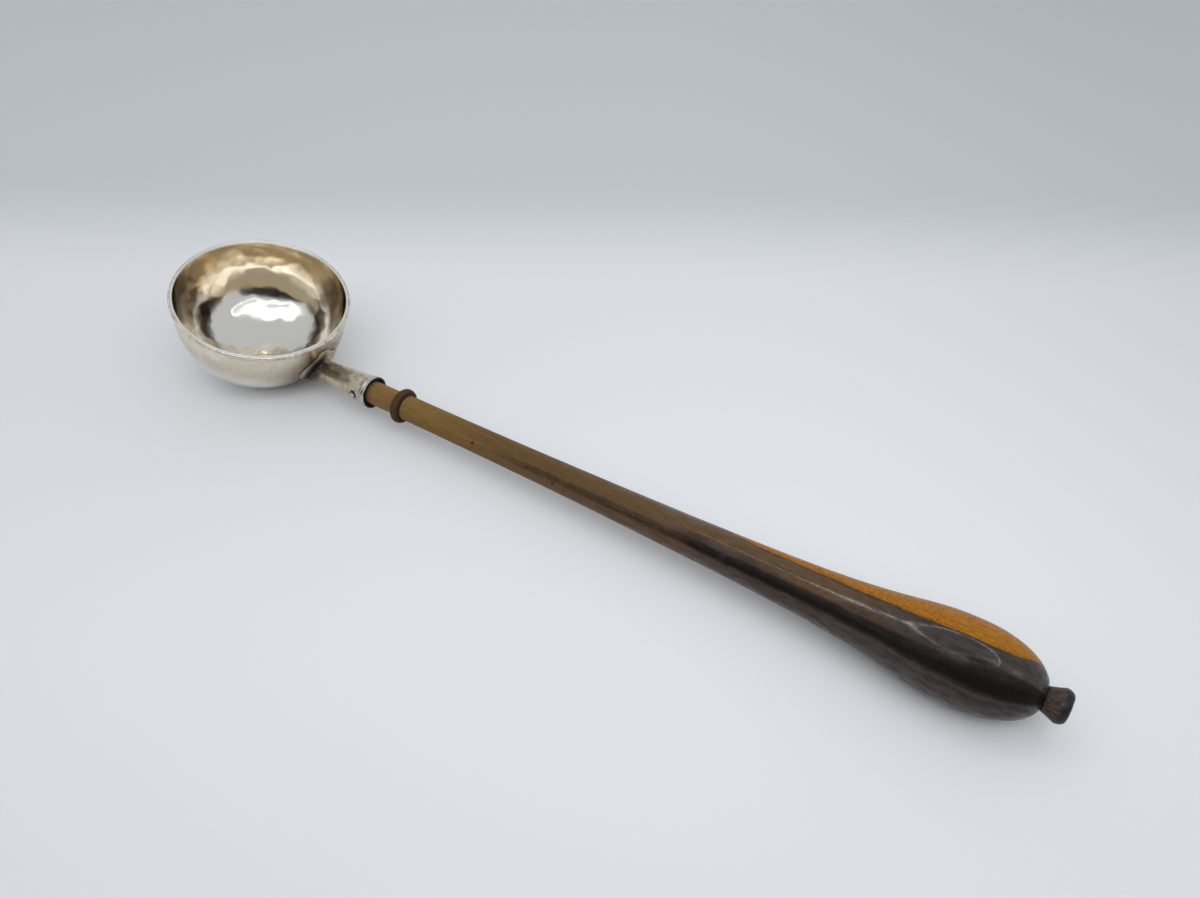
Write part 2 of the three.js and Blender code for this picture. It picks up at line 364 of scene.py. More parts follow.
# Centres and radii of patches, in millimetres
PIT_PLACES = (
    ((-2.6, -5.1, 91.0), 1.0), ((-2.6, -5.3, 118.0), 0.9), ((-1.6, -6.0, 131.0), 0.9),
)
# Brown patches inside the bowl: partly tarnish, partly painted dark reflections
BROWN_REFLECTION_PLACES = (
    ((-35.5, -4.5, -7.5), 8.5), ((-32.5, -15.0, -6.5), 8.0), ((-33.0, -7.5, -18.0), 5.5),
    ((-29.0, -12.0, -22.5), 5.5), ((9.0, 33.5, -12.0), 10.0), ((8.0, 31.5, -20.0), 9.0),
    ((17.0, 26.0, -23.5), 8.0), ((24.0, 26.5, -4.0), 10.0),
)
# Ways across the handle
NEAR_SHADE_SIDE = (-0.57, -0.82, 0.0)
SHADOW_ACROSS = (0.819, -0.574, 0.0)
SAPWOOD_SIDE = (-0.643, 0.766, 0.0)

BELT_FILM = (0.52, 0.44, 0.33)
JOINT_FILM = (0.36, 0.28, 0.175)
PITCH = SimpleNamespace(hollow=(0.004, 0.0035, 0.003), lump=(0.014, 0.011, 0.008))
WOOD = SimpleNamespace(
    fibre=(0.42, 0.36, 0.30), gold=(0.34, 0.205, 0.075), red=(0.052, 0.026, 0.015),
    fleck=(0.020, 0.012, 0.007), pore=(0.008, 0.005, 0.004), pit=(0.025, 0.010, 0.004),
    # This line's three tones paint dark reflections on the club
    haze=(0.030, 0.017, 0.015), black=(0.006, 0.0040, 0.003), end=(0.007, 0.0045, 0.003),
    # The groove tone on this line is painted shade in the bead's cove
    bead=(0.056, 0.029, 0.010), groove=(0.014, 0.007, 0.004), foot=(0.030, 0.016, 0.008),
)
SAPWOOD = SimpleNamespace(
    streak=(0.270, 0.100, 0.006), pore=(0.080, 0.028, 0.005), edge=(0.14, 0.055, 0.010),
    line=(0.012, 0.007, 0.005),
)
PEG = SimpleNamespace(
    # The seam tone on this line is painted shade at the peg's foot
    light=(0.082, 0.055, 0.042), seam=(0.010, 0.007, 0.006), end=(0.009, 0.009, 0.013)
)


def worn_surface(mm):
    """Fine scratches both ways, and grit."""
    across = mm.noise((0.35, 6.0, 2.2), 3.0, 0.7)
    along = mm.noise((5.0, 0.5, 1.4), 3.0, 0.7)
    grit = mm.noise(3.2, 4.0, 0.6)
    return (across * 0.5 + along * 0.5 + grit * 0.25).bump(0.012 * MM)


def patches(mm, places, ragged):
    """A mask of ragged patches, each a centre and a radius in millimetres."""
    mask = None
    for centre, radius in places:
        near = (mm.distance(centre) + ragged).fade(radius * 0.45, radius)
        mask = near if mask is None else mask.higher(near)
    return mask


def bowl_inside(mm, bowl):
    """1 on the inside of the bowl's sheet and 0 on its outside."""
    across = mm.from_axis() * (MM / bowl.wall_radius)
    down = mm.split()[2] * (-MM / bowl.depth)
    return (across ** bowl.power + down ** bowl.power).fade(0.955, 0.985)


def bowl_finish(place, bowl, socket):
    """Golden inside and rubbed bright at the bottom, grey outside and brown round the joint."""
    tree = new_finish("bowl_silver")
    mm = tree.millimetres(place)
    z = mm.split()[2]
    clouds = mm.noise(0.085, 5.0, 0.6, 0.6)
    stains = mm.noise(0.32, 5.0, 0.68, 0.5)
    fine = mm.noise(1.1, 4.0, 0.7)
    ragged = stains * 9.0 - 4.5 + fine * 3.0 - 1.5

    yellow = (z + stains * 8.0 + clouds * 6.0).step(-9.0, 1.0)
    bright = (z + stains * 6.0).fade(-25.0, -14.0)
    specks = fine.step(0.64, 0.76) * stains.step(0.50, 0.60)
    wall = layers(
        bowl.warm_silver,
        (yellow, bowl.gold_silver),
        # Brown tarnish patches that also paint dark reflections on the inside
        (patches(mm, BROWN_REFLECTION_PLACES, ragged) * 0.82, bowl.brown),
        (bright, bowl.bright_silver),
        (specks * 0.5, bowl.brown),
    )

    cloudy = (clouds * 0.7 + stains * 0.3).step(0.36, 0.64)
    height = z + clouds * 8.0
    dirt = (fine * 0.4 + stains * 0.6).step(0.50, 0.74)
    under_wire = abs(z + bowl.wire_height / MM + 0.25).fade(0.15, 0.75)
    # Rubbed smooth low on the outside, and brightened there as a painted reflection of the pale floor
    polish_and_sheen = height.fade(-17.0, -9.0)
    far = mm.distance(joint_point(socket, bowl) / MM) + ragged
    skin = layers(
        shaded(bowl.silver, 1.14),
        (cloudy, shaded(bowl.warm_silver, 1.06)),
        (height.between(-20.0, -12.0, -8.0, 0.0) * 0.40, BELT_FILM),
        (dirt * 0.09, bowl.brown),
        (under_wire * 0.6, bowl.tarnish),
        # Painted reflection of the floor on the polished bottom
        (polish_and_sheen * 0.80, shaded(bowl.bright_silver, 1.28)),
        (far.fade(11.0, 26.0) * 0.74, JOINT_FILM),
        (far.fade(10.0, 18.5) * 0.78, bowl.brown),
    )

    inside = bowl_inside(mm, bowl)
    lip = (z + fine * 0.8).step(-0.9, -0.2)
    rough = 0.22 - inside * 0.15 + stains * 0.10 + lip * 0.12 - polish_and_sheen * (1 - inside) * 0.14
    return tree.surface(
        Base_Color=layers(skin, (inside, wall), (lip, shaded(bowl.bright_silver, 1.15))),
        Metallic=1.0, Roughness=rough, Normal=worn_surface(mm),
    )


def silver_finish(name, place, bowl, clean, roughness, size, share_of_brown, dark=None):
    """Old silver with brown patches of a size in millimetres, and black where dark says."""
    tree = new_finish(name)
    mm = tree.millimetres(place)
    patchy = mm.scaled((1.0, 1.0, 0.6)).noise(1.0 / size, 5.0, 0.7, 0.7)
    fine = mm.noise(1.6, 4.0, 0.7)
    brown = (patchy * 0.7 + fine * 0.3).step(0.44, 0.66) * share_of_brown
    tone = layers(clean, (patchy.step(0.32, 0.68), shaded(clean, 0.78)), (brown, bowl.brown))
    rough = roughness + fine * 0.10 + brown * 0.08
    if dark is not None:
        mask = dark(mm)
        tone = mask.mix(tone, bowl.tarnish)
        rough = rough + mask * 0.25
    return tree.surface(Base_Color=tone, Metallic=1.0, Roughness=rough, Normal=worn_surface(mm))


def socket_tarnish(socket):
    """Black tarnish at the root, round the rivet and at the mouth, with painted shade: a darker root and
    a dark streak on the near, shadow side.
    """
    reach = socket.reach / MM
    pin_station = (socket.reach - socket.pin_setback) / MM
    slant = math.tan(socket.pin_slant)

    def mask(mm):
        x, y, z = mm.split()
        ragged = mm.noise(0.5, 5.0, 0.7) - 0.5
        fine = mm.noise(1.5, 4.0, 0.7) - 0.5
        near_shade = (ragged * 3.0 + mm.toward(NEAR_SHADE_SIDE)).step(0.5, 4.5)
        # Painted shade: the root's black reaches further and is darker on the near side
        root = (z + ragged * 9.0 + fine * 4.0 - near_shade * 4.0).fade(-1.5, 4.5)
        root = root * (0.45 + near_shade * 0.55)
        off_pin = ((z - pin_station) ** 2.0 + (x - y * slant) ** 2.0) ** 0.5
        ring = (off_pin + fine * 1.4).fade(1.55, 2.1)
        mouth = (z + ragged * 2.0).step(reach - 0.7, reach + 0.1)
        # A streak of painted shade down the near, shadow side
        aside = abs(mm.toward(SHADOW_ACROSS) + ragged * 3.0)
        streak = aside.fade(0.1, 1.3) * y.fade(-1.0, 0.0)
        streak = streak * z.fade(16.0, 29.0) * fine.step(-0.20, 0.05)
        return (root * 0.92).higher(ring * 0.95).higher(streak * 0.55).higher(mouth * 0.7)
    return mask


def plate_tarnish(mm):
    """Black tarnish in patches, blackest beside the socket's root on the near side, where that is
    painted shade.
    """
    ragged = mm.noise(0.55, 5.0, 0.7)
    fine = mm.noise(1.5, 4.0, 0.7)
    patchy = (ragged * 0.7 + fine * 0.3).step(0.40, 0.62)
    # Painted shade beside the socket's root on the near side
    near_shade = (ragged * 5.0 - 2.5 + mm.toward(NEAR_SHADE_SIDE)).step(2.0, 5.0)
    close = (mm.from_axis() + ragged * 4.0 - 2.0).fade(7.0, 10.5)
    return 0.06 + patchy * 0.26 + near_shade * close * 0.90


def collar_tarnish(socket):
    """Black in the groove between the reeds, and on the end at the mouth."""
    foot = (socket.ring_radius - socket.ring_groove) / MM
    end = mouth_station(socket) / MM

    def mask(mm):
        across = mm.from_axis()
        groove = across.between(foot - 0.3, foot - 0.1, foot - 0.02, foot + 0.14)
        return groove.higher(mm.split()[2].step(end - 0.30, end - 0.08))
    return mask


def pin_tarnish(mm):
    """Black round the foot of the rivet's head."""
    return mm.from_axis().step(0.80, 1.05)


def pitch_finish(place):
    """Dull black, greyer on its lumps."""
    tree = new_finish("pitch")
    lumps = tree.millimetres(place).noise(1.4, 4.0, 0.6)
    return tree.surface(
        Base_Color=lumps.mix(PITCH.hollow, PITCH.lump),
        Roughness=0.5 + lumps * 0.3, Specular_IOR_Level=0.25,
        Normal=lumps.bump(0.15 * MM),
    )


def wood_marks(tree, place, socket):
    """The places and the noises that the handle's finish is made of."""
    mm = tree.millimetres(place)
    x, y, z = mm.split()
    along = z - mouth_station(socket) / MM
    pores = mm.noise((8.0, 8.0, 0.40), 2.0, 0.5)
    return SimpleNamespace(
        mm=mm, x=x, y=y, radius=mm.from_axis(),
        along=along, part=along * (1 / WOOD_REACH),
        pores=pores, pore=pores.step(0.59, 0.68),
        streaks=mm.noise((0.75, 0.75, 0.022), 6.0, 0.64, 0.3),
        fibres=mm.noise((4.5, 4.5, 0.10), 5.0, 0.68),
        flecks=mm.noise((0.9, 0.9, 0.35), 3.0, 0.6),
        wander=mm.noise((0.20, 0.20, 0.09), 6.0, 0.72) - 0.5,
    )


def facing(wood, degrees):
    """Cosine of the angle from a line along the handle: 0 is uppermost and 90 in front."""
    a = math.radians(degrees)
    return (wood.x * -math.cos(a) + wood.y * -math.sin(a)) / wood.radius


def heartwood(wood):
    """Olive at the neck and near black in the club, with fibres, flecks, pores and pits."""
    shift = wood.part + (wood.streaks - 0.5) * 0.14
    upper = (facing(wood, 0) + wood.wander * 0.30).step(0.64, 0.86)
    dusk = wood.part.step(0.50, 0.62) * (1 - upper * 0.8)
    gold = (wood.streaks + wood.fibres * 0.4).step(0.70, 0.86)
    gold = gold * wood.part.fade(0.14, 0.34)
    reddish = wood.mm.noise((0.34, 0.34, 0.030), 5.0, 0.72, 0.5)
    # The top takes the tones with painted sheen, and the rest takes the underside's tones
    tone = upper.mix(shift.ramp(LOWER_TONES), shift.ramp(UPPER_TONES_WITH_SHEEN))
    tone = (wood.fibres.step(0.36, 0.62) * 0.42).mix(tone, WOOD.fibre, "MULTIPLY")
    return layers(
        tone,
        (gold * 0.28, WOOD.gold),
        (reddish.step(0.44, 0.60) * dusk * 0.50, WOOD.red),
        (wood.flecks.step(0.70, 0.76) * (1 - dusk) * 0.6, WOOD.fleck),
        (wood.pore * 0.55, WOOD.pore),
        (patches(wood.mm, PIT_PLACES, wood.wander) * 0.75, WOOD.pit),
    )


def dark_reflections(wood):
    """Masks of painted dark reflections: a black line along the near side, a softer dark band above it
    and the club's end.
    """
    # Painted dark reflection of the open front, along the near side
    line = (facing(wood, 56) + wood.wander * 0.06).step(0.958, 0.990)
    ragged = (wood.flecks + wood.fibres * 0.3).step(0.52, 0.68)
    faint = (wood.along + wood.wander * 30.0).step(50.0, 95.0) * (0.28 + ragged * 0.25)
    full = (wood.along + wood.wander * 24.0).step(146.0, 158.0)
    gap = (wood.along + wood.wander * 8.0).between(168.8, 170.2, 171.0, 172.6)
    black = line * faint.higher(full * 0.88) * (1 - gap * 0.45)
    haze = (facing(wood, 48) + wood.wander * 0.22).step(0.885, 0.985)
    haze = haze * (wood.along + wood.wander * 22.0).between(146.0, 162.0, 178.0, 200.0)
    end = (facing(wood, 47) + wood.wander * 0.04).step(0.925, 0.972)
    return black, haze, end * (wood.along + wood.wander * 12.0).step(247.0, 262.0)


def sapwood(wood, handle):
    """The mask and the tone of the orange streak, and the mask of the dark line at its edge."""
    depth = wood.part.ramp(SAPWOOD_DEPTHS) * 10.0
    jagged = wood.mm.noise((1.1, 1.1, 0.22), 3.0, 0.6) - 0.5
    into = wood.mm.toward(SAPWOOD_SIDE) - depth + wood.wander * 1.6 + jagged * 0.9
    tone = layers(
        shaded(handle.sapwood, 1.06),
        (wood.fibres.step(0.38, 0.66), shaded(handle.sapwood, 0.62)),
        (wood.streaks.step(0.46, 0.62) * 0.50, SAPWOOD.streak),
        (wood.pores.step(0.51, 0.60) * 0.80, SAPWOOD.pore),
        (into.fade(0.1, 1.3) * 0.40, SAPWOOD.edge),
    )
    line = abs(into + 0.25).fade(0.05, 0.55)
    return into.step(-0.07, 0.07), tone, line * wood.along.step(150.0, 175.0)


def handle_finish(place, handle, socket):
    """Dark hardwood with an orange streak, matt at the neck and lacquered along the club."""
    tree = new_finish("handle_wood")
    wood = wood_marks(tree, place, socket)
    black, haze, end = dark_reflections(wood)
    sap, sap_tone, sap_line = sapwood(wood, handle)
    off_bead = wood.along - (handle.bead_setback + handle.bead_width / 2) / MM
    tone = layers(
        heartwood(wood),
        # Painted dark reflections: a softer band, the black line along the near side and the club's
        # black end
        (haze * 0.75, WOOD.haze),
        (black, WOOD.black),
        (end * 0.88, WOOD.end),
        (sap, sap_tone),
        (sap_line * 0.5, SAPWOOD.line),
        (abs(off_bead).fade(1.5, 2.6) * 0.88, WOOD.bead),
        # Painted shade in the cove on the club's side of the bead
        (off_bead.between(1.2, 2.0, 2.2, 2.8) * 0.80, WOOD.groove),
        (wood.along.fade(0.2, 1.6) * 0.30, WOOD.foot),
    )

    shine = wood.along.step(40.0, 190.0)
    rubbed = wood.mm.noise((0.55, 0.55, 0.16), 5.0, 0.7).step(0.34, 0.66)
    lacquer = 0.03 + shine * (0.14 + rubbed * 0.66)
    lacquer = lacquer * (1 - sap * 0.78) * (1 - end * 0.88) * (1 - black * 0.70)
    ripples = wood.mm.noise((0.42, 0.42, 0.20), 3.0, 0.6)
    wavy = wood.mm.noise((1.5, 1.5, 0.55), 3.0, 0.6)
    grain = wood.fibres * 0.6 + wood.pore * -0.8 + wood.streaks * 0.4
    return tree.surface(
        Base_Color=tone,
        Roughness=0.55 - shine * 0.20 + wood.fibres * 0.08,
        Specular_IOR_Level=0.10,
        Coat_Weight=lacquer,
        Coat_Roughness=0.09,
        Normal=grain.bump(0.05 * MM, (ripples + wavy * 0.50).bump(0.16 * MM)),
    )


def peg_finish(place, peg):
    """Brown wood with a painted shade band at its foot and a black end."""
    tree = new_finish("peg_wood")
    mm = tree.millimetres(place)
    z = mm.split()[2]
    fibres = mm.noise((1.6, 1.6, 0.10), 5.0, 0.65, 0.4)
    worn = mm.noise(0.7, 4.0, 0.7)
    head = peg.neck_length / MM
    tone = layers(
        peg.wood,
        (fibres.step(0.38, 0.66), PEG.light),
        # Painted shade where the peg meets the club
        ((z + worn * 0.8).fade(0.4, 1.6) * 0.85, PEG.seam),
        ((z + worn * 2.0 - 1.0).step(head, head + 1.1) * 0.92, PEG.end),
    )
    return tree.surface(
        Base_Color=tone, Roughness=0.40 + fibres * 0.12, Specular_IOR_Level=0.2,
        Coat_Weight=0.08, Coat_Roughness=0.16, Normal=fibres.bump(0.08 * MM),
    )


def floor_finish(stage):
    """Matt paper with painted shade: greyer far behind, where a sheet would rise, towards its edges and
    near the front.
    """
    tree = new_finish("paper")
    place = tree.add("ShaderNodeTexCoord", output="Object")
    back = place.toward(SHEET_BACK)
    aside = place.toward(SHEET_SIDE)
    dim = shaded(stage.sweep, 0.5)
    sweep = back.step(0.20, 0.75).mix(stage.sweep, shaded(stage.sweep, 0.93))
    edge = abs(aside).step(0.05, 0.60) * 0.12 + aside.step(0.02, 0.45) * 0.13
    # Painted shade: greyer far behind, towards the edges and near the front
    tone = layers(
        stage.floor,
        (back.step(-0.15, 0.20), shaded(stage.floor, 0.955)),
        (back.fade(-0.20, -0.05) * 0.12, dim),
        (back.step(0.158, 0.272), sweep),
        (edge, dim),
    )
    paper = place.noise(900.0).bump(0.01 * MM)
    return tree.surface(Base_Color=tone, Roughness=0.9, Specular_IOR_Level=0.2, Normal=paper)


# Frames and shapes

SADDLE_REACH = 12 * MM  # how far the search for the saddle goes from the wall
HALVINGS = 26


def bowl_frame():
    """The rim's centre, with Z along the rim's normal and X towards the handle."""
    return Matrix.Translation(RIM_CENTRE) @ Matrix.Rotation(RIM_LEAN, 4, "Y")


def joint_point(socket, bowl):
    """Where the handle's axis meets the wall, in the bowl's frame."""
    ratio = socket.drop / bowl.depth
    reach = bowl.wall_radius * (1 - ratio ** bowl.power) ** (1 / bowl.power)
    return Vector((reach, 0.0, -socket.drop))


def handle_in_bowl(socket, bowl):
    turn = Matrix.Rotation(math.pi / 2 - socket.rise, 4, "Y")
    return Matrix.Translation(joint_point(socket, bowl)) @ turn


def handle_frame(socket, bowl):
    return bowl_frame() @ handle_in_bowl(socket, bowl)


def mouth_station(socket):
    return socket.reach + CLEARANCE + socket.ring_width


def taper(socket, station):
    """The socket's outer radius without its flare."""
    spread = (socket.mouth_radius - socket.root_radius) / socket.reach
    return socket.root_radius + spread * station


def cloud(point, size, seed=0.0):
    """Smooth noise from -1 to 1 with features of the given size."""
    return noise.noise(Vector(point) / size + Vector((seed, -seed, seed / 2)))


def wear(depth, size, seed, sink, stretch=1):
    """Relief with features of a size, which are longer along Z by stretch."""
    def relief(point, across):
        return depth * (cloud((point[0], point[1], point[2] / stretch), size, seed) - sink)
    return relief


def bezier(points, steps):
    """Points on a Bezier curve, without its first."""
    curve = []
    for i in range(1, steps + 1):
        t = i / steps
        work = [Vector(p) for p in points]
        while len(work) > 1:
            work = [a.lerp(b, t) for a, b in zip(work, work[1:])]
        curve.append((work[0].x, work[0].y))
    return curve


def arc(centre, reach, start, end, steps, power_across=1.0, power_up=1.0):
    """Points on an oval arc in an outline, in degrees. Powers under 1 square it up."""
    points = []
    for i in range(steps + 1):
        a = math.radians(start + (end - start) * i / steps)
        across, up = math.cos(a), math.sin(a)
        points.append((
            centre[0] + reach[0] * math.copysign(abs(across) ** power_across, across),
            centre[1] + reach[1] * math.copysign(abs(up) ** power_up, up),
        ))
    return points


def ring_faces(count, segments, closed):
    """Faces between rings of points, and from the last ring to the first if closed."""
    faces = []
    for k in range(count if closed else count - 1):
        here, there = k * segments, ((k + 1) % count) * segments
        for i in range(segments):
            j = (i + 1) % segments
            faces.append((here + i, here + j, there + j, there + i))
    return faces


def turned(outline, segments, relief):
    """A lathe about Z. The outline starts and ends on the axis, or closes on itself."""
    loop = outline[0] == outline[-1]
    ring = outline[:-1] if loop else outline[1:-1]
    count = len(ring)
    points = []
    for k, (radius, height) in enumerate(ring):
        before = ring[k - 1] if loop or k > 0 else outline[0]
        after = ring[(k + 1) % count] if loop or k < count - 1 else outline[-1]
        across = Vector((after[1] - before[1], before[0] - after[0])).normalized()
        for i in range(segments):
            a = 2 * math.pi * i / segments
            x, y = math.cos(a), math.sin(a)
            push = relief((radius * x, radius * y, height), across)
            r = radius + across.x * push
            points.append((r * x, r * y, height + across.y * push))
    faces = ring_faces(count, segments, loop)
    if not loop:
        first, last = len(points), len(points) + 1
        points += [(0.0, 0.0, outline[0][1]), (0.0, 0.0, outline[-1][1])]
        top = (count - 1) * segments
        for i in range(segments):
            j = (i + 1) % segments
            faces.append((first, j, i))
            faces.append((last, top + i, top + j))
    return points, faces


def put(name, data):
    """A new object in the scene."""
    thing = bpy.data.objects.new(name, data)
    bpy.context.scene.collection.objects.link(thing)
    return thing


def add_piece(name, points, faces, place, finish, slot, nodes):
    mesh = bpy.data.meshes.new(name)
    mesh.from_pydata(points, [], faces)
    mesh.validate()
    mesh.transform(place)
    mesh.polygons.foreach_set("use_smooth", [True] * len(mesh.polygons))
    mesh.update()
    mesh.materials.append(finish)
    piece = put(name, mesh)
    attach(piece, "root")
    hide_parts(*nodes)


def add_silver(name, node, slot, mesh, place, bowl, *look):
    finish = silver_finish(slot, place, bowl, *look)
    add_piece(name, *mesh, place, finish, slot, [node])


def saddle_station(socket, bowl, x, y, stand_off):
    """Where a line along the handle leaves the surface that stands off the bowl's wall."""
    place = handle_in_bowl(socket, bowl)
    start = place @ Vector((x, y, 0.0))
    way = place.to_3x3() @ Vector((0.0, 0.0, 1.0))

    def outside(station):
        point = start + way * station
        across = math.hypot(point.x, point.y) / (bowl.wall_radius + stand_off)
        down = abs(point.z) / (bowl.depth + stand_off)
        return across ** bowl.power + down ** bowl.power > 1

    low, high = -SADDLE_REACH, SADDLE_REACH
    for _ in range(HALVINGS):
        middle = (low + high) / 2
        if outside(middle):
            high = middle
        else:
            low = middle
    return (low + high) / 2


# Pieces

SEAM_ANGLE, SEAM_WIDTH = 118, 3.2    # degrees round the socket
SOLDER_START, SOLDER_REACH, SOLDER_RISE = 0.2 * MM, 2.2 * MM, 0.5 * MM


def hammered(bowl):
    """Depth of the raised sheet's planishing marks and slow dents, deeper inside."""
    def relief(point, across):
        slow = cloud(point, 17 * MM, 3.1) * 0.9 + cloud(point, 8.5 * MM, 7.7) * 0.5
        marks = noise.voronoi(Vector(point) / (4.6 * MM))[0][0] ** 2
        lip = min(1.0, max(0.0, -point[2] / (3 * MM)))
        strength = 1.0 if across.y > 0 else 0.4
        return bowl.hammer_depth * strength * (slow - 1.2 - 0.9 * marks) * lip
    return relief


def bowl_outline(bowl, steps):
    """The sheet's outside from the bottom up, its worn lip, and its inside down again."""
    power = 2 / bowl.power
    outside = (bowl.wall_radius, bowl.depth)
    inside = (bowl.wall_radius - bowl.sheet, bowl.depth - bowl.sheet)
    body, back = (
        [p for p in arc((0, 0), reach, -90, 0, steps, power, power) if p[1] < -bowl.lip_round * 1.2]
        for reach in (outside, inside)
    )
    soft = (bowl.lip_round, bowl.lip_round)
    lip = arc((outside[0] - soft[0], -soft[1]), soft, 0, 90, 6)
    lip += arc((inside[0] + soft[0], -soft[1]), soft, 90, 180, 6)
    return body + lip + back[::-1]


def rim_outline(bowl):
    """D section: flat against the wall, round outside, its top level with the lip."""
    inner = bowl.wall_radius - 0.05 * MM
    shoulder = inner + bowl.wire_width * 0.35
    half = bowl.wire_height / 2
    foot = (inner, -bowl.wire_height)
    side = arc((shoulder, -half), (bowl.wire_width * 0.65, half), -90, 90, 16)
    return [foot, *side, (inner, 0.0), foot]


class LADLE_OT_bowl(bpy.types.Operator):
    """Makes the raised bowl and the wire round its rim"""
    bl_idname = "ladle.bowl"
    bl_label = "Bowl and rim"

    def execute(self, context):
        bowl, socket = context.scene.ladle_bowl, context.scene.ladle_socket
        place = bowl_frame()
        silver = bowl_finish(place, bowl, socket)
        sheet = turned(bowl_outline(bowl, 84), 256, hammered(bowl))
        add_piece("raised_bowl", *sheet, place, silver, "bowl_silver", ["bowl"])
        wire = turned(rim_outline(bowl), 256, wear(0.05 * MM, 5 * MM, 1.3, 0.8))
        add_silver(
            "rim_moulding", "rim_wire", "rim_silver", wire, place, bowl,
            shaded(bowl.silver, 1.1), 0.22, 2.4, 0.45,
        )
        return {"FINISHED"}


def plate_mesh(socket, bowl):
    """The lobed plate that follows the wall, with soft edges and a hole under the socket."""
    segments, rings = 180, 26
    hole = 3.0 * MM
    least = 0.02 * MM
    profile = [(0.0, least), (0.0, socket.plate_thickness)]
    for i in range(1, rings + 1):
        t = i / rings
        # The outer tenth is rounded off
        edge = max(0.0, (t - 0.90) / 0.10)
        swell = 1 - 0.55 * t ** 1.5
        profile.append((t, socket.plate_thickness * swell * math.sqrt(max(0.0, 1 - edge ** 2.4))))
    profile += [(t, least) for t in (0.75, 0.5, 0.25)]
    points = []
    for k, (t, rise) in enumerate(profile):
        for i in range(segments):
            a = 2 * math.pi * i / segments
            rim = socket.plate_radius + socket.plate_lobe * math.cos(socket.plate_lobes * a)
            radius = hole + (rim - hole) * t
            x, y = -radius * math.cos(a), radius * math.sin(a)
            rough = 0.14 * MM * cloud((x, y, 0.0), 2.2 * MM, 5.0) if 1 < k < rings + 2 else 0.0
            lift = max(least, rise + rough * min(1.0, rise / (0.4 * MM)))
            points.append((x, y, saddle_station(socket, bowl, x, y, lift)))
    return points, ring_faces(len(profile), segments, True)


def socket_mesh(socket, bowl):
    """The tapered tube: its flared root ends on the plate, and its bore runs right through."""
    segments, outer_rings, bore_rings = 160, 72, 24

    def outer(station):
        flare = max(0.0, 1 - station / socket.flare_length)
        solder = max(0.0, 1 - (station + SOLDER_START) / SOLDER_REACH)
        spread = socket.flare_radius * flare ** 2
        return taper(socket, station) + spread + SOLDER_RISE * solder ** 3

    def bore(station):
        return taper(socket, station) - socket.wall

    def root(radius_at, a):
        """Where a line down the tube meets the plate. A few rounds settle its radius."""
        station = 0.0
        for _ in range(12):
            radius = radius_at(max(station, 0.0))
            station = saddle_station(
                socket, bowl, radius * math.cos(a), radius * math.sin(a),
                socket.plate_thickness - 0.1 * MM,
            )
        return station

    angles = [2 * math.pi * i / segments for i in range(segments)]
    starts = {shape: [root(shape, a) for a in angles] for shape in (outer, bore)}
    ways = [(outer, k / outer_rings) for k in range(outer_rings + 1)]
    ways += [(bore, 1 - k / bore_rings) for k in range(bore_rings + 1)]
    points = []
    for shape, t in ways:
        for a, start in zip(angles, starts[shape]):
            station = start + (socket.reach - start) * t
            radius = shape(max(station, 0.0))
            if shape is outer:
                place = (radius * math.cos(a), radius * math.sin(a), station)
                dents = cloud(place, 6 * MM, 2.0) * 0.10 + cloud(place, 2.6 * MM, 9.0) * 0.045
                seam = math.exp(-((math.degrees(a) - SEAM_ANGLE) / SEAM_WIDTH) ** 2)
                radius += MM * (dents - 0.08 - 0.09 * seam)
            points.append((radius * math.cos(a), radius * math.sin(a), station))
    return points, ring_faces(len(ways), segments, True)


def collar_outline(socket):
    """Two half-round reeds on a ring, with a soft mouth."""
    start = socket.reach + 0.02 * MM
    end = mouth_station(socket)
    reed = (end - start) / 2
    foot = socket.ring_radius - socket.ring_groove
    outline = [(socket.ring_bore, start)]
    for middle in (start + reed / 2, end - reed / 2):
        outline += arc((foot, middle), (socket.ring_groove, reed / 2), -90, 90, 12, 0.7)
    outline[-1] = (foot - 0.02 * MM, end - 0.01 * MM)
    soft = 0.18 * MM
    outline += arc((socket.ring_bore + soft, end - soft), (soft, soft), 90, 180, 5)
    outline.append(outline[0])
    return outline


def pin_mesh(socket):
    """Both domed heads and the shank of the rivet, along Z."""
    seat = taper(socket, socket.reach - socket.pin_setback) - 0.15 * MM
    shank = 0.75 * MM
    dome = (socket.pin_head, socket.pin_height)
    upper = [(shank, seat), *arc((0, seat + 0.12 * MM), dome, 0, 90, 10, 0.8)]
    lower = [(radius, -height) for radius, height in reversed(upper)]
    return turned(lower + upper, 48, wear(0.04 * MM, 0.8 * MM, 4.0, 0.0))


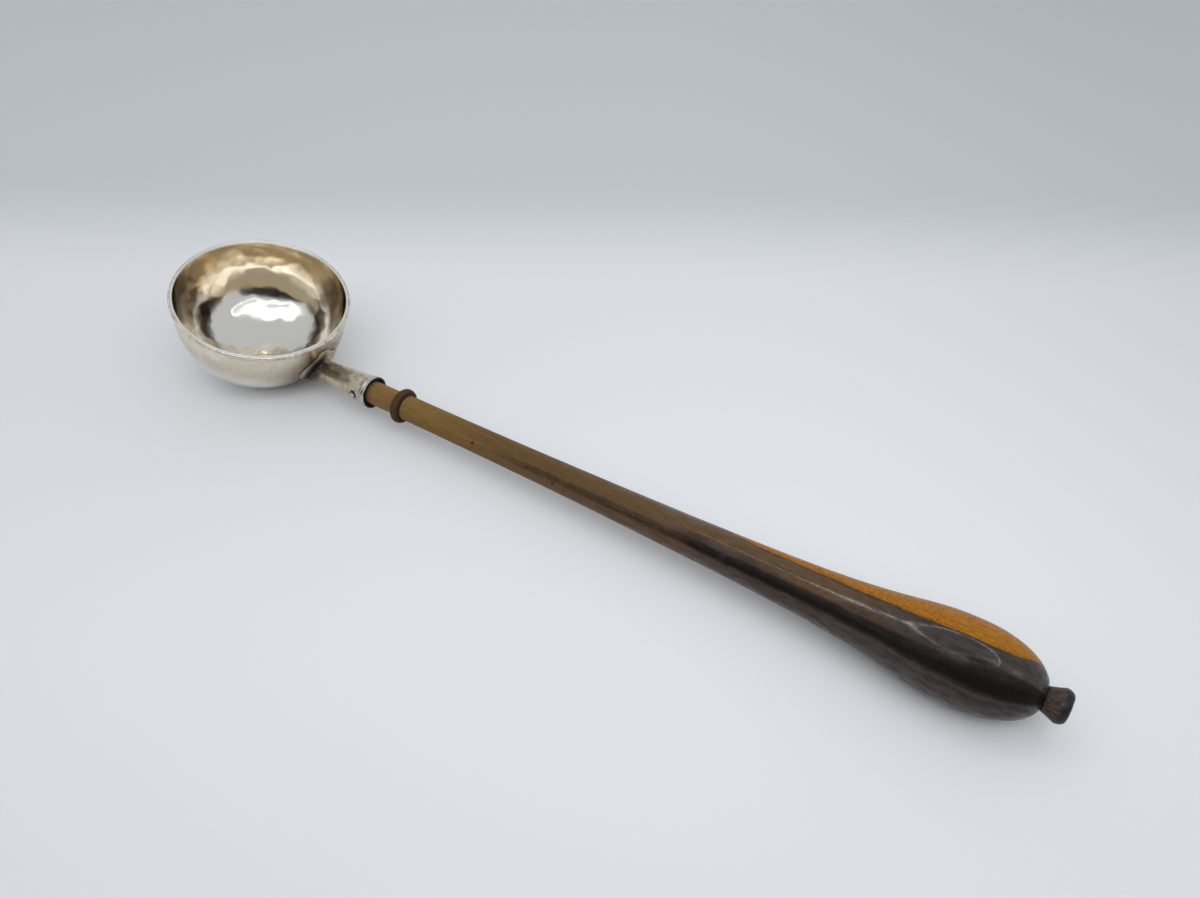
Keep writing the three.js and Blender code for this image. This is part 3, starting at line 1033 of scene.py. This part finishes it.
class LADLE_OT_socket(bpy.types.Operator):
    """Makes the lobed plate, the tapered socket, its reeded ring and the rivet"""
    bl_idname = "ladle.socket"
    bl_label = "Socket"

    def execute(self, context):
        bowl, socket = context.scene.ladle_bowl, context.scene.ladle_socket
        place = handle_frame(socket, bowl)
        add_silver(
            "lobed_plate", "joint_plate", "plate_silver", plate_mesh(socket, bowl), place, bowl,
            shaded(bowl.warm_silver, 0.92), 0.32, 2.2, 0.5, plate_tarnish,
        )
        add_silver(
            "tapered_socket", "socket", "socket_silver", socket_mesh(socket, bowl), place, bowl,
            shaded(bowl.warm_silver, 0.98), 0.24, 3.4, 0.66, socket_tarnish(socket),
        )
        ring = turned(collar_outline(socket), 128, wear(0.03 * MM, 3 * MM, 6.0, 0.7))
        add_silver(
            "reeded_collar", "socket_collar", "collar_silver", ring, place, bowl,
            shaded(bowl.bright_silver, 0.92), 0.16, 2.0, 0.35, collar_tarnish(socket),
        )
        station = Matrix.Translation((0.0, 0.0, socket.reach - socket.pin_setback))
        across = Matrix.Rotation(-socket.pin_slant, 4, "Z") @ Matrix.Rotation(math.pi / 2, 4, "X")
        add_silver(
            "rivet", "socket_pin", "pin_silver", pin_mesh(socket), place @ station @ across, bowl,
            bowl.bright_silver, 0.16, 1.0, 0.2, pin_tarnish,
        )
        return {"FINISHED"}


def handle_outline(handle, socket, peg):
    """The turning from its tenon's end to the land under the peg, with the peg's blind hole."""
    mouth = mouth_station(socket)
    bead = mouth + handle.bead_setback
    shaft = bead + handle.bead_width
    club = shaft + handle.shaft_length
    crown = club + handle.swell
    tenon = taper(socket, TENON_START) - socket.wall - PITCH_DEPTH
    outline = [(0.0, TENON_START), (tenon, TENON_START)]
    outline += bezier([outline[-1], (handle.neck_radius, mouth - 3 * MM)], 6)
    outline += bezier([outline[-1], (handle.neck_radius, bead - 0.35 * MM)], 16)
    steps = 22
    for i in range(steps + 1):
        a = math.pi * i / steps
        foot = handle.neck_radius + (handle.shaft_radius - handle.neck_radius) * i / steps
        rise = (handle.bead_radius - foot) * math.sin(a) ** 0.85
        outline.append((foot + rise, bead + handle.bead_width / 2 * (1 - math.cos(a))))
    middle = (handle.shaft_radius + handle.club_root) / 2 - handle.hollow
    outline += bezier([
        (handle.shaft_radius, shaft), (middle, shaft + handle.shaft_length / 2),
        (handle.club_root, club),
    ], 110)
    slope = (handle.club_root - middle) / (handle.shaft_length / 2)
    flare = handle.swell * handle.flare_ease
    outline += bezier([
        (handle.club_root, club), (handle.club_root + slope * flare, club + flare),
        (handle.club_radius, crown - handle.swell * handle.crown_ease),
        (handle.club_radius, crown),
    ], 90)
    power = handle.dome_power
    last = (1 - (handle.land / handle.club_radius) ** power) ** (1 / power)
    steps = 40
    for i in range(1, steps + 1):
        along = last * math.sin(math.pi / 2 * i / steps)
        outline.append((
            handle.club_radius * (1 - along ** power) ** (1 / power), crown + handle.dome * along
        ))
    land = outline[-1][1]
    hole, bottom = peg.tenon_radius + CLEARANCE, land - peg.tenon_length - CLEARANCE
    outline += [
        (handle.land - 0.25 * MM, land + 0.02 * MM), (peg.neck_radius + 0.15 * MM, land),
        (peg.neck_radius, land - 0.25 * MM), (hole, land - CLEARANCE), (hole, bottom), (0.0, bottom),
    ]
    return outline, land


def peg_outline(peg):
    steps = 24
    outline = [
        (0.0, -peg.tenon_length), (peg.tenon_radius, -peg.tenon_length), (peg.tenon_radius, -0.2 * MM),
        (peg.neck_radius - 0.15 * MM, -0.2 * MM),
    ]
    outline += bezier([
        (peg.neck_radius, 0.0),
        ((peg.neck_radius + peg.head_radius) / 2 - peg.waist, peg.neck_length / 2),
        (peg.head_radius, peg.neck_length),
    ], steps)
    head = (peg.head_radius - peg.face_radius, peg.head_length)
    outline += arc((peg.face_radius, peg.neck_length), head, 0, 90, steps, 0.8)[1:]
    outline.append((0.0, peg.neck_length + peg.head_length))
    return outline


def bedding_mesh(handle, socket):
    """The pitch that fills the mouth, lumpy where it shows."""
    end = mouth_station(socket) - 0.55 * MM
    throat = socket.reach - 0.5 * MM
    bore = taper(socket, TENON_START) - socket.wall - PITCH_FIT
    inner = handle.neck_radius - 0.15 * MM
    outer = socket.ring_bore - 0.02 * MM
    outline = [
        (bore - 0.5 * MM, TENON_START), (bore, TENON_START),
        (socket.mouth_radius - socket.wall - PITCH_FIT, throat), (outer, throat + 0.2 * MM),
    ]
    outline += bezier([outline[-1], (outer, end + 0.1 * MM), (inner, end)], 10)
    outline += [(inner, socket.reach - 2 * MM), outline[0]]

    def lumps(point, across):
        return 0.10 * MM * (cloud(point, 1.3 * MM, 3.0) - 0.5) if point[2] > throat else 0.0
    return turned(outline, 96, lumps)


class LADLE_OT_handle(bpy.types.Operator):
    """Makes the turned handle and the pitch that beds it"""
    bl_idname = "ladle.handle"
    bl_label = "Handle"

    def execute(self, context):
        scene = context.scene
        bowl, socket, handle = scene.ladle_bowl, scene.ladle_socket, scene.ladle_handle
        place = handle_frame(socket, bowl)
        slow = wear(0.06 * MM, 9 * MM, 2.2, 1.0, 4)
        quick = wear(0.018 * MM, 2.4 * MM, 5.5, 0.0, 2)

        def turning(point, across):
            return slow(point, across) + quick(point, across)
        outline, _ = handle_outline(handle, socket, scene.ladle_peg)
        points, faces = turned(outline, 160, turning)
        wood = handle_finish(place, handle, socket)
        add_piece("turned_handle", points, faces, place, wood, "handle_wood", ["handle_shaft"])
        pitch = pitch_finish(place)
        add_piece("bedding", *bedding_mesh(handle, socket), place, pitch, "pitch", ["pitch_bedding"])
        return {"FINISHED"}


class LADLE_OT_peg(bpy.types.Operator):
    """Makes the flared peg in the club's end"""
    bl_idname = "ladle.peg"
    bl_label = "End peg"

    def execute(self, context):
        scene = context.scene
        peg = scene.ladle_peg
        _, land = handle_outline(scene.ladle_handle, scene.ladle_socket, peg)
        place = handle_frame(scene.ladle_socket, scene.ladle_bowl)
        place = place @ Matrix.Translation((0.0, 0.0, land + 0.1 * MM))
        points, faces = turned(peg_outline(peg), 96, wear(0.10 * MM, 2.4 * MM, 8.0, 0.8, 3))
        add_piece("flared_peg", points, faces, place, peg_finish(place, peg), "peg_wood", ["finial_peg"])
        return {"FINISHED"}


# Stage

# The camera, in metres and millimetres
EYE = Vector((0.16577, -0.22784, 0.27781))
LOOK = Vector((-0.40195, 0.62958, -0.66488))
ROLL = 0.0161
LENS = 29.625
SENSOR = 36.0

# Ways across the floor: away from the camera, and to its right
SHEET_BACK = (-0.538, 0.843, 0.0)
SHEET_SIDE = (0.843, 0.538, 0.0)
FLOOR_REACH = 4.0

RING_CENTRE = Vector((0.148, -0.052, 0.300))
RING_REACH = (0.123, 0.144)
RING_PARTS = 30
RING_WIDTH = 0.0092
BAR_WIDTH = 0.016
BAR_START = Vector((0.029, -0.046, 0.300))
BAR_END = Vector((-0.044, 0.022, 0.300))
BAR_TILT = math.radians(-75)


def toward(azimuth, elevation):
    """The way to a place in the sky, in degrees."""
    a, e = math.radians(azimuth), math.radians(elevation)
    return Vector((math.cos(e) * math.cos(a), math.cos(e) * math.sin(a), math.sin(e)))


def sky_oval(azimuth, elevation, half_width, half_height):
    """The way to an oval's middle, and its ways across and up, each over its own size."""
    across = toward(azimuth + 90, 0) / math.sin(math.radians(half_width))
    up = toward(azimuth + 180, 90 - elevation) / math.sin(math.radians(half_height))
    return toward(azimuth, elevation), across, up


WINDOW = sky_oval(-50, 57, 38, 19)
OPENING = sky_oval(-66, 8, 62, 28)
TENT_TINTS = ((0.985, 1.01, 1.03), (0.97, 0.9894, 1.0088))
WINDOW_TINT = (0.99, 1.0, 1.01)
OPENING_TONES = ((0.020, 0.017, 0.019), (0.058, 0.046, 0.042))


def add_lamp(name, start, end, width, brightness, tilt=0.0):
    """A strip of light, facing down unless tilted, as bright as white paper times brightness."""
    way = end - start
    lamp = bpy.data.lights.new(name, "AREA")
    lamp.shape = "RECTANGLE"
    lamp.size, lamp.size_y = way.length, width
    lamp.energy = brightness * math.pi * way.length * width
    holder = put(name, lamp)
    holder.location = (start + end) / 2
    holder.rotation_euler = (tilt, 0.0, math.atan2(way.y, way.x))
    holder.visible_camera = False


def add_ring(stage):
    """The oval lamp, in short strips."""
    oval = arc(RING_CENTRE, RING_REACH, 0, 360, RING_PARTS)
    corners = [Vector((x, y, RING_CENTRE.z)) for x, y in oval]
    for i, (start, end) in enumerate(zip(corners, corners[1:])):
        add_lamp(f"ring_{i:02d}", start, end, RING_WIDTH, stage.ring)


def in_oval(way, oval, low, high):
    """The mask of an oval in the sky, and how far across and up in it a way points."""
    middle, across, up = oval
    across, up = way.toward(across), way.toward(up)
    mask = ((across * across + up * up) ** 0.5).fade(low, high)
    return mask * way.toward(middle).step(0.0, 0.1), across, up


def light_room(scene, stage):
    """A white tent with a bright window above the front and a dark opening under it."""
    world = bpy.data.worlds.new("tent")
    scene.world = world
    tree = Tree(world)
    way = tree.add("ShaderNodeTexCoord", output="Generated")
    high = way.split()[2].step(0.55, 0.98)
    window, across, up = in_oval(way, WINDOW, 0.82, 1.10)
    slot = abs(across + 0.05).fade(0.52, 0.70)
    slot = slot * abs(up + 0.42).fade(0.14, 0.28)
    opening, _, _ = in_oval(way, OPENING, 0.84, 1.03)
    blotch = way.noise(3.0).step(0.40, 0.62)
    tent = layers(
        shaded(TENT_TINTS[0], stage.tent),
        (high, shaded(TENT_TINTS[1], stage.tent)),
        (window * (1 - slot * 0.9), shaded(WINDOW_TINT, stage.window)),
        (opening, blotch.mix(*OPENING_TONES)),
    )
    seen = tree.add("ShaderNodeLightPath", output="Is Camera Ray")
    tone = seen.mix(tent, stage.sweep)
    background = tree.add("ShaderNodeBackground", sockets={"Color": tone, "Strength": 1.0})
    tree.add("ShaderNodeOutputWorld", sockets={"Surface": background})


class LADLE_OT_stage(bpy.types.Operator):
    """Makes the pale floor, the tent's light and the camera"""
    bl_idname = "ladle.stage"
    bl_label = "Stage"

    def execute(self, context):
        scene = context.scene
        stage = scene.ladle_stage
        scene.view_settings.view_transform = "Standard"

        mesh = bpy.data.meshes.new("floor")
        corners = [
            (x * FLOOR_REACH, y * FLOOR_REACH, 0.0) for x, y in ((-1, -1), (1, -1), (1, 1), (-1, 1))
        ]
        mesh.from_pydata(corners, [], [(0, 1, 2, 3)])
        mesh.materials.append(floor_finish(stage))
        floor = put("floor", mesh)
        floor.location.z = -0.05 * MM

        light_room(scene, stage)
        add_ring(stage)
        add_lamp("bar", BAR_START, BAR_END, BAR_WIDTH, stage.bar, BAR_TILT)

        camera = bpy.data.cameras.new("camera")
        camera.lens = LENS
        camera.sensor_width = SENSOR
        camera.sensor_fit = "HORIZONTAL"
        camera.clip_start = 0.005
        holder = put("camera", camera)
        holder.location = EYE
        aim = LOOK.to_track_quat("-Z", "Y").to_matrix() @ Matrix.Rotation(ROLL, 3, "Z")
        holder.rotation_euler = aim.to_euler()
        scene.camera = holder
        return {"FINISHED"}


class LADLE_PT_panel(bpy.types.Panel):
    """The ladle's pieces and sizes"""
    bl_idname = "LADLE_PT_panel"
    bl_label = "Punch ladle"
    bl_space_type = "VIEW_3D"
    bl_region_type = "UI"
    bl_category = "Ladle"

    def draw(self, context):
        for operator in OPERATORS:
            self.layout.operator(operator.bl_idname)
        for name, group in SETTINGS.items():
            box = self.layout.box()
            for prop in group.__annotations__:
                box.prop(getattr(context.scene, name), prop)


SETTINGS = {
    "ladle_bowl": BowlSettings,
    "ladle_socket": SocketSettings,
    "ladle_handle": HandleSettings,
    "ladle_peg": PegSettings,
    "ladle_stage": StageSettings,
}
OPERATORS = (LADLE_OT_bowl, LADLE_OT_socket, LADLE_OT_handle, LADLE_OT_peg, LADLE_OT_stage)
CLASSES = (*SETTINGS.values(), *OPERATORS, LADLE_PT_panel)


def register():
    # Each setting is labelled with its own name
    for group in SETTINGS.values():
        for key, setting in group.__annotations__.items():
            setting.keywords["name"] = key.replace("_", " ").capitalize()
    for item in CLASSES:
        bpy.utils.register_class(item)
    for name, group in SETTINGS.items():
        setattr(bpy.types.Scene, name, bpy.props.PointerProperty(type=group))


def unregister():
    for name in SETTINGS:
        delattr(bpy.types.Scene, name)
    for item in reversed(CLASSES):
        bpy.utils.unregister_class(item)


def main():
    register()
    bpy.ops.ladle.stage()
    bpy.ops.ladle.bowl()
    bpy.ops.ladle.socket()
    bpy.ops.ladle.handle()
    bpy.ops.ladle.peg()


if __name__ == "__main__":
    main()
